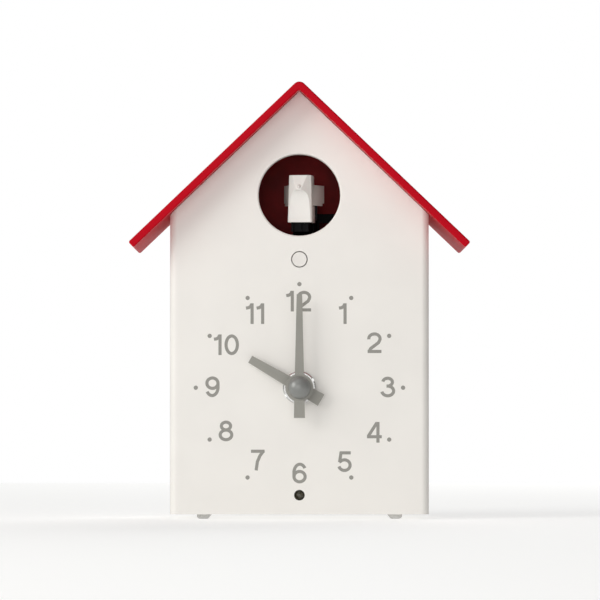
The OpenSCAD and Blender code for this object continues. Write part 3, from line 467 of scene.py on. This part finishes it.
def finished(bm, name, finish, node, replaced=()):
    """Turns a bmesh into a piece that rides with a node's body, with even shading over its flats."""
    mesh = bpy.data.meshes.new(name)
    bm.normal_update()
    bm.to_mesh(mesh)
    bm.free()
    mesh.shade_smooth()
    mesh.set_sharp_from_angle(angle=math.radians(SHADE_ANGLE))
    piece = bpy.data.objects.new(name, mesh)
    scene.collection.objects.link(piece)
    mesh.materials.clear()
    mesh.materials.append(FINISHES[finish])
    even = piece.modifiers.new("even_shading", "WEIGHTED_NORMAL")
    even.keep_sharp = True
    even.weight = 100
    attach(piece, BODY_OF[node])
    if replaced:
        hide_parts(*replaced)


def edges_over(bm, degrees, keep=None):
    """Edges where the surface turns by more than an angle, and which the test keep lets through."""
    limit = math.radians(degrees)
    found = [e for e in bm.edges if len(e.link_faces) == 2 and e.calc_face_angle(0) > limit]
    return [e for e in found if keep is None or keep(e)]


def round_edges(bm, edges, radius, segments):
    """Rounds the given edges with a few flats."""
    bmesh.ops.bevel(bm, geom=edges, offset=radius, offset_type="OFFSET", segments=segments, profile=0.5,
                    affect="EDGES", clamp_overlap=True, material=-1, loop_slide=True)


def copy_of(node):
    """The CAD node's surface as one joined mesh with its flats as single faces."""
    bm = bmesh.new()
    bm.from_mesh(frame["nodes"][node].data)
    bmesh.ops.remove_doubles(bm, verts=bm.verts, dist=0.0005 * MM)
    bmesh.ops.dissolve_limit(bm, angle_limit=math.radians(0.6), verts=bm.verts, edges=bm.edges,
                             delimit={"NORMAL"})
    return bm


def softened(node, radius, name=None, segments=2, angle=ROUND_ANGLE):
    """A node made again with its sharp edges rounded."""
    bm = copy_of(node)
    if radius:
        round_edges(bm, edges_over(bm, angle), radius, segments)
    finished(bm, name or node + "_made", SLOT_OF[node], node, [node])


def turned(profile, centre, steps=64):
    """Spins a profile of (radius, y), in metres, about a line along Y through centre."""
    bm = bmesh.new()
    points = [bm.verts.new((centre[0] + r, y, centre[1])) for r, y in profile]
    edges = [bm.edges.new(pair) for pair in zip(points, points[1:])]
    bmesh.ops.spin(bm, geom=points + edges, cent=(centre[0], 0, centre[1]), axis=(0, 1, 0), dvec=(0, 0, 0),
                   angle=math.tau, steps=steps, use_merge=True)
    bmesh.ops.remove_doubles(bm, verts=bm.verts, dist=0.001 * MM)
    bmesh.ops.recalc_face_normals(bm, faces=bm.faces)
    return bm


def rounded_profile(corners, radius, steps=4):
    """Profile through corners, each eased by a short arc."""
    made = []
    for i, corner in enumerate(corners):
        here = Vector(corner)
        if i in (0, len(corners) - 1):
            made.append(here)
            continue
        before, after = Vector(corners[i - 1]), Vector(corners[i + 1])
        cut = min(radius, (before - here).length / 2.2, (after - here).length / 2.2)
        start = here + (before - here).normalized() * cut
        end = here + (after - here).normalized() * cut
        for k in range(steps + 1):
            t = k / steps
            made.append((1 - t) ** 2 * start + 2 * t * (1 - t) * here + t * t * end)
    return [tuple(p) for p in made]


def centre_of(node):
    """Middle of a node's box."""
    low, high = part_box(node)
    return (low + high) / 2


# ---------------------------------------------------------------- dial print

STROKE = 0.152             # width of a stroke, with the height of a digit as 1
HALF = STROKE / 2
SPACE = 0.14               # between two digits, on the same scale
DIGIT_HEIGHT = 9.1 * MM
INK = 0.03 * MM            # how far the print stands out


def arc(centre, radii, start, end, steps=18):
    """Points along an ellipse, clockwise when end is less than start."""
    made = []
    for i in range(steps + 1):
        a = math.radians(start + (end - start) * i / steps)
        made.append((centre[0] + radii[0] * math.cos(a), centre[1] + radii[1] * math.sin(a)))
    return made


def ring(centre, radii):
    """A stroke that closes on itself."""
    return ("ring", arc(centre, radii, 0, 360, 40)[:-1])


def path(*points):
    """An open stroke through points and lists of points."""
    return ("path", [p for part in points for p in (part if isinstance(part, list) else [part])])


# Each digit's width and the centre lines of its strokes
DIGITS = {
    "0": (0.70, [ring((0.35, 0.5), (0.35 - HALF, 0.5 - HALF))]),
    "1": (0.37, [path((0.37 - HALF, 0), (0.37 - HALF, 1)),
                 path((0.0, 0.765), (0.14, 0.79), (0.235, 0.86), (0.27, 0.965))]),
    "2": (0.70, [path(arc((0.35, 0.695), (0.272, 0.229), 188, -22), (0.545, 0.50), (0.36, 0.36),
                      (0.17, 0.22), (0.09, HALF)), path((0.02, HALF), (0.69, HALF))]),
    "3": (0.71, [path(arc((0.345, 0.735), (0.232, 0.189), 172, -84), (0.29, 0.546)),
                 path((0.29, 0.546), arc((0.35, 0.311), (0.284, 0.235), 88, -172))]),
    "4": (0.74, [path((0.55, 0), (0.55, 1)), path((0.02, 0.285), (0.735, 0.285)),
                 path((0.50, 0.965), (0.075, 0.30))]),
    "5": (0.70, [path((0.13, 1 - HALF), (0.655, 1 - HALF)), path((0.19, 0.975), (0.115, 0.47)),
                 path((0.10, 0.485), arc((0.35, 0.33), (0.274, 0.256), 138, -166))]),
    "6": (0.70, [ring((0.357, 0.325), (0.268, 0.25)),
                 path(arc((0.372, 0.52), (0.285, 0.403), 32, 178), (0.088, 0.36))]),
    "7": (0.70, [path((0.02, 1 - HALF), (0.68, 1 - HALF)),
                 path((0.63, 0.95), (0.45, 0.70), (0.33, 0.42), (0.27, 0.0))]),
    "8": (0.71, [ring((0.355, 0.737), (0.222, 0.187)), ring((0.355, 0.308), (0.279, 0.232))]),
}


def half_turned(digit):
    """A digit turned half way round."""
    width, strokes = DIGITS[digit]
    return (width, [(kind, [(width - x, 1 - y) for x, y in points]) for kind, points in strokes])


DIGITS["9"] = half_turned("6")
# Hour to the middle of its number, right and up from the dial's centre, in millimetres
HOUR_PLACES = {
    12: (-0.3, 38.1), 1: (19.1, 32.6), 2: (33.0, 19.8), 3: (38.9, 0.3),
    4: (32.9, -19.6), 5: (19.8, -32.5), 6: (0, -37.5), 7: (-18.3, -31.8),
    8: (-32.3, -19.0), 9: (-38.2, 0.4), 10: (-32.1, 18.9), 11: (-19.5, 32.6),
}
DOT_CIRCLE = 45.6 * MM
DOT_RADIUS = 0.95 * MM
DOT_SIDES = 28


def stroke(bm, kind, points, place):
    """Lays an even strip along a centre line on the face and gives it the ink's thickness."""
    closed = kind == "ring"
    count = len(points)
    left, right = [], []
    for i, point in enumerate(points):
        here = Vector(point)
        before = Vector(points[i - 1]) if closed or i else here
        after = Vector(points[(i + 1) % count]) if closed or i < count - 1 else here
        arrive, leave = (here - before), (after - here)
        arrive = arrive.normalized() if arrive.length else leave.normalized()
        leave = leave.normalized() if leave.length else arrive
        across = Vector((-(arrive + leave).y, (arrive + leave).x)).normalized()
        reach = HALF / max(0.5, across.dot(Vector((-arrive.y, arrive.x))))
        for side, sign in ((left, 1), (right, -1)):
            spot = (here + across * reach * sign) * DIGIT_HEIGHT
            side.append(bm.verts.new((place[0] + spot.x, place[1], place[2] + spot.y)))
    faces = []
    for i in range(count if closed else count - 1):
        j = (i + 1) % count
        faces.append(bm.faces.new((left[i], left[j], right[j], right[i])))
    grown = bmesh.ops.extrude_face_region(bm, geom=faces)
    moved = [v for v in grown["geom"] if isinstance(v, bmesh.types.BMVert)]
    bmesh.ops.translate(bm, verts=moved, vec=(0, INK * 2, 0))
    bmesh.ops.recalc_face_normals(bm, faces=bm.faces)


def solid_from(bm):
    """A plain object from a bmesh, to be joined to others."""
    mesh = bpy.data.meshes.new("stroke")
    bm.to_mesh(mesh)
    bm.free()
    made = bpy.data.objects.new("stroke", mesh)
    scene.collection.objects.link(made)
    return made


def applied(thing):
    """The mesh of an object with its modifiers worked in; the object itself goes."""
    depsgraph = bpy.context.evaluated_depsgraph_get()
    mesh = bpy.data.meshes.new_from_object(thing.evaluated_get(depsgraph))
    bpy.data.objects.remove(thing)
    return mesh


def joined_solids(solids):
    """Unites overlapping solids into one closed mesh."""
    first, others = solids[0], solids[1:]
    for other in others:
        union = first.modifiers.new("join", "BOOLEAN")
        union.operation = "UNION"
        union.solver = "EXACT"
        union.object = other
    mesh = applied(first)
    for other in others:
        bpy.data.objects.remove(other)
    return mesh


def hour_number(hour, dial, face_y):
    """The digits of one hour, upright, in raised ink."""
    text = str(hour)
    widths = [DIGITS[c][0] for c in text]
    total = (sum(widths) + SPACE * (len(text) - 1)) * DIGIT_HEIGHT
    right, up = HOUR_PLACES[hour]
    x = dial.x + right * MM - total / 2
    z = dial.z + up * MM - DIGIT_HEIGHT / 2
    number = bmesh.new()
    for c, width in zip(text, widths):
        solids = []
        for kind, points in DIGITS[c][1]:
            bm = bmesh.new()
            stroke(bm, kind, points, (x, face_y - INK, z))
            solids.append(solid_from(bm))
        glyph = joined_solids(solids)
        number.from_mesh(glyph)
        bpy.data.meshes.remove(glyph)
        x += (width + SPACE) * DIGIT_HEIGHT
    bmesh.ops.remove_doubles(number, verts=number.verts, dist=0.0005 * MM)
    finished(number, f"number_{hour}", "ink", "front_housing")


def hour_dots(dial, face_y):
    """A round mark outside each number but the lowest, where the light sensor is."""
    bm = bmesh.new()
    for hour in range(1, 13):
        if hour == 6:
            continue
        a = math.radians(90 - hour * 30)
        spot = (dial.x + DOT_CIRCLE * math.cos(a), face_y, dial.z + DOT_CIRCLE * math.sin(a))
        turn = Matrix.Translation(spot) @ Matrix.Rotation(math.pi / 2, 4, "X")
        bmesh.ops.create_cone(bm, cap_ends=True, segments=DOT_SIDES, radius1=DOT_RADIUS,
                              radius2=DOT_RADIUS, depth=INK * 2, matrix=turn)
    finished(bm, "hour_marks", "ink", "front_housing")


# ---------------------------------------------------------------- outside pieces

DOOR_LIP = 0.8 * MM
DOOR_RADIUS = 18 * MM
DOOR_HEIGHT = 142.85 * MM     # of the middle of the doorway


def make_case():
    """The shell, with a well rounded lip round the doorway, and the back cover and battery lid."""
    bm = copy_of("front_housing")
    cad_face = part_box("front_housing")[0].y

    def by_doorway(vert):
        from_middle = math.hypot(vert.co.x, vert.co.z - DOOR_HEIGHT)
        return abs(vert.co.y - cad_face) < 0.01 * MM and abs(from_middle - DOOR_RADIUS) < 1 * MM

    doorway_rim = edges_over(bm, ROUND_ANGLE, lambda edge_highlight: all(by_doorway(v) for v in edge_highlight.verts))
    round_edges(bm, doorway_rim, DOOR_LIP, 4)
    round_edges(bm, edges_over(bm, ROUND_ANGLE), 0.45 * MM, 3)
    finished(bm, "case_shell", "case_white", "front_housing", ["front_housing"])
    softened("rear_cover", 0.3 * MM, "back_cover")
    softened("battery_door", 0.3 * MM, "battery_lid")


def make_roof():
    """The roof with its eaves well rounded and its front and back ends a little less."""
    bm = copy_of("roof_panel")
    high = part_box("roof_panel")[1]

    def at_eave(edge_highlight):
        first, second = (v.co for v in edge_highlight.verts)
        far_out = min(abs(first.x), abs(second.x)) > high.x - 4 * MM
        return far_out and abs(first.y - second.y) > 1 * MM

    def at_end(edge_highlight):
        return all(abs(abs(v.co.y) - high.y) < 0.01 * MM for v in edge_highlight.verts)

    round_edges(bm, edges_over(bm, 40, at_eave), 0.9 * MM, 4)
    round_edges(bm, edges_over(bm, 40, at_end), 0.7 * MM, 4)
    finished(bm, "roof_shell", "roof_red", "roof_panel", ["roof_panel"])


def make_feet():
    """Soft turned feet with a flat tread."""
    for node in ("foot_front_left", "foot_front_right", "foot_rear_left", "foot_rear_right"):
        softened(node, 0.12 * MM, node + "_pad", angle=40)


def make_hands():
    """Both blades with eased edges."""
    softened("hour_hand", 0.22 * MM, "hour_hand_blade", segments=3)
    softened("minute_hand", 0.22 * MM, "minute_hand_blade", segments=3)


def make_cap():
    """Shallow dome on the minute hand's hub, with a low upright skirt."""
    low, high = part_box("hand_cap")
    centre = centre_of("hand_cap")
    radius = (high.x - low.x) / 2
    skirt = 0.5 * MM
    rise = high.y - low.y - skirt
    steps = 12
    profile = [(0, high.y), (radius - 0.25 * MM, high.y), (radius, high.y - 0.2 * MM)]
    for i in range(steps + 1):
        a = math.radians(i * 90 / steps)
        profile.append((radius * math.cos(a), high.y - skirt - rise * math.sin(a)))
    finished(turned(profile, (centre.x, centre.z), 72), "cap_dome", "cap_grey", "hand_cap", ["hand_cap"])


def make_nut():
    """The plated nut behind the hands."""
    softened("dial_nut", 0.18 * MM, "dial_ring_nut", segments=3)


def make_button():
    """Push button with an eased rim and a faint dish, a flange that keeps it in, and a stem."""
    low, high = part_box("front_button")
    centre = centre_of("front_button")
    face = low.y
    flange = (high.x - low.x) / 2
    flange_front, flange_back = face + 2.85 * MM, face + 3.85 * MM
    cap = flange - 1.2 * MM
    stem = 1.2 * MM
    depth = 0.12 * MM
    dish = [(cap * f, face + depth * (1 - f * f)) for f in (0, 0.25, 0.5, 0.75, 0.9)]
    corners = [(cap * 0.9, face + 0.02 * MM), (cap, face), (cap, flange_front)]
    rim = rounded_profile(corners, 0.3 * MM)[1:]
    rest = [(flange, flange_front), (flange, flange_back), (stem, flange_back), (stem, high.y), (0, high.y)]
    button = turned(dish + rim + rest, (centre.x, centre.z))
    finished(button, "button_cap", "button_white", "front_button", ["front_button"])


def make_knobs():
    """The two knobs at the back."""
    softened("time_set_knob", 0.25 * MM, "setting_knob", angle=40)
    softened("volume_knob", 0.25 * MM, "volume_dial", angle=40)


# ---------------------------------------------------------------- cuckoo

def make_bird():
    """The bird's figure and its wings, with soft facets."""
    softened("bird_body", 0.35 * MM, "bird_figure", segments=3, angle=24)
    softened("wing_left", 0.25 * MM, "bird_wing_left")
    softened("wing_right", 0.25 * MM, "bird_wing_right")


def make_chamber():
    """The box behind the doorway and the slide in it."""
    softened("bird_chamber", 0.25 * MM, "chamber_box")
    softened("bird_carriage", 0.2 * MM, "carriage_slide", angle=50)


# ---------------------------------------------------------------- inside pieces

# Radius of each inside node's eased edges, in millimetres
SMALL_EDGE = {
    "case_screws": 0.12, "roof_screws": 0.12, "chamber_screws": 0.12, "board_screws": 0.1,
    "switch_plunger": 0.1, "switch_body": 0.15, "switch_board": 0.1, "sensor_lens": 0.08,
    "light_sensor": 0.12, "sensor_board": 0.1, "movement_case_front": 0.3, "movement_case_rear": 0.3,
    "middle_plate": 0.06, "minute_arbor": 0.05, "hour_wheel": 0.05, "minute_wheel": 0.05,
    "centre_wheel": 0.04, "third_wheel": 0.03, "seconds_wheel": 0.03, "fifth_wheel": 0.03, "rotor": 0.04,
    "stator": 0.1, "stator_coil": 0.15, "movement_board": 0.08, "wing_pins": 0.05, "wing_rod": 0.1,
    "flap_solenoid": 0.15, "drive_axle": 0.06, "drive_gear": 0.06, "motor": 0.3, "motor_pinion": 0.05,
    "speaker_frame": 0.15, "speaker_magnet": 0.2, "speaker_cone": 0.08, "main_board": 0.12,
    "board_parts": 0.2, "contact_springs": 0, "contact_plates": 0.08, "wire_harness": 0,
}
CELL_NUB = 1.4 * MM
CELL_SLEEVE = 0.15 * MM       # thickness
CELL_PLAY = 0.1 * MM          # left free at each end
CELL_SHIFT = 0.2 * MM         # of each cell towards its flat end
SLEEVE_INSET = 0.5 * MM
BAND_LENGTH = 13 * MM


def laid_along_x(bm, side, place):
    """Turns a piece made along Y to point to the left or the right, and puts it in its place."""
    turn = Matrix.Translation(place) @ Matrix.Rotation(-side * math.pi / 2, 4, "Z")
    bmesh.ops.transform(bm, matrix=turn, verts=bm.verts)
    return bm


def hoop(radius, start, end):
    """Closed outline of a thin sleeve with curled ends."""
    inner, curl = radius - CELL_SLEEVE, CELL_SLEEVE
    return [(inner - curl, start), (inner, start), (radius, start + curl), (radius, end - curl), (inner, end),
            (inner - curl, end), (inner - curl, start)]


def make_cells():
    """Three cells: a steel can with a nub, a dark sleeve and a copper-coloured band at the nub's end."""
    low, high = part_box("cells")
    half = (high.x - low.x - CELL_NUB) / 2 - CELL_PLAY
    radius = (high.y - low.y) / 2
    pitch = (high.z - low.z - 2 * radius) / 2
    can = radius - CELL_SLEEVE
    can_corners = [(0, -half), (can, -half), (can, half)]
    nub_corners = [(0.48 * can, half), (0.42 * can, half + 0.2 * MM),
                   (0.37 * can, half + CELL_NUB), (0, half + CELL_NUB)]
    steel = rounded_profile(can_corners + nub_corners, 0.5 * MM, 3)
    outlines = {
        "cell_cans": ("cell_can", steel),
        "cell_sleeves": ("sleeve", hoop(radius, -half + SLEEVE_INSET, half - BAND_LENGTH)),
        "cell_bands": ("gold_band", hoop(radius, half - BAND_LENGTH, half - SLEEVE_INSET)),
    }
    for name, (finish, outline) in outlines.items():
        whole = bmesh.new()
        for i in range(3):
            side = 1 if i % 2 == 0 else -1
            place = (-side * CELL_SHIFT, (low.y + high.y) / 2, low.z + radius + i * pitch)
            mesh = bpy.data.meshes.new("cell")
            one = laid_along_x(turned(outline, (0, 0), 48), side, place)
            one.to_mesh(mesh)
            one.free()
            whole.from_mesh(mesh)
            bpy.data.meshes.remove(mesh)
        finished(whole, name, finish, "cells", ["cells"] if name == "cell_cans" else ())


def make_inside():
    """Every other inside node, with its own small edge."""
    for node, radius in SMALL_EDGE.items():
        softened(node, radius * MM)


make_camera()
make_studio()
make_case()
make_roof()
make_feet()
make_hands()
make_cap()
make_nut()
make_button()
make_knobs()
make_bird()
make_chamber()
make_cells()
make_inside()
dial_centre = centre_of("hand_cap")
face_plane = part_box("front_housing")[0].y
for hour_name in HOUR_PLACES:
    hour_number(hour_name, dial_centre, face_plane)
hour_dots(dial_centre, face_plane)
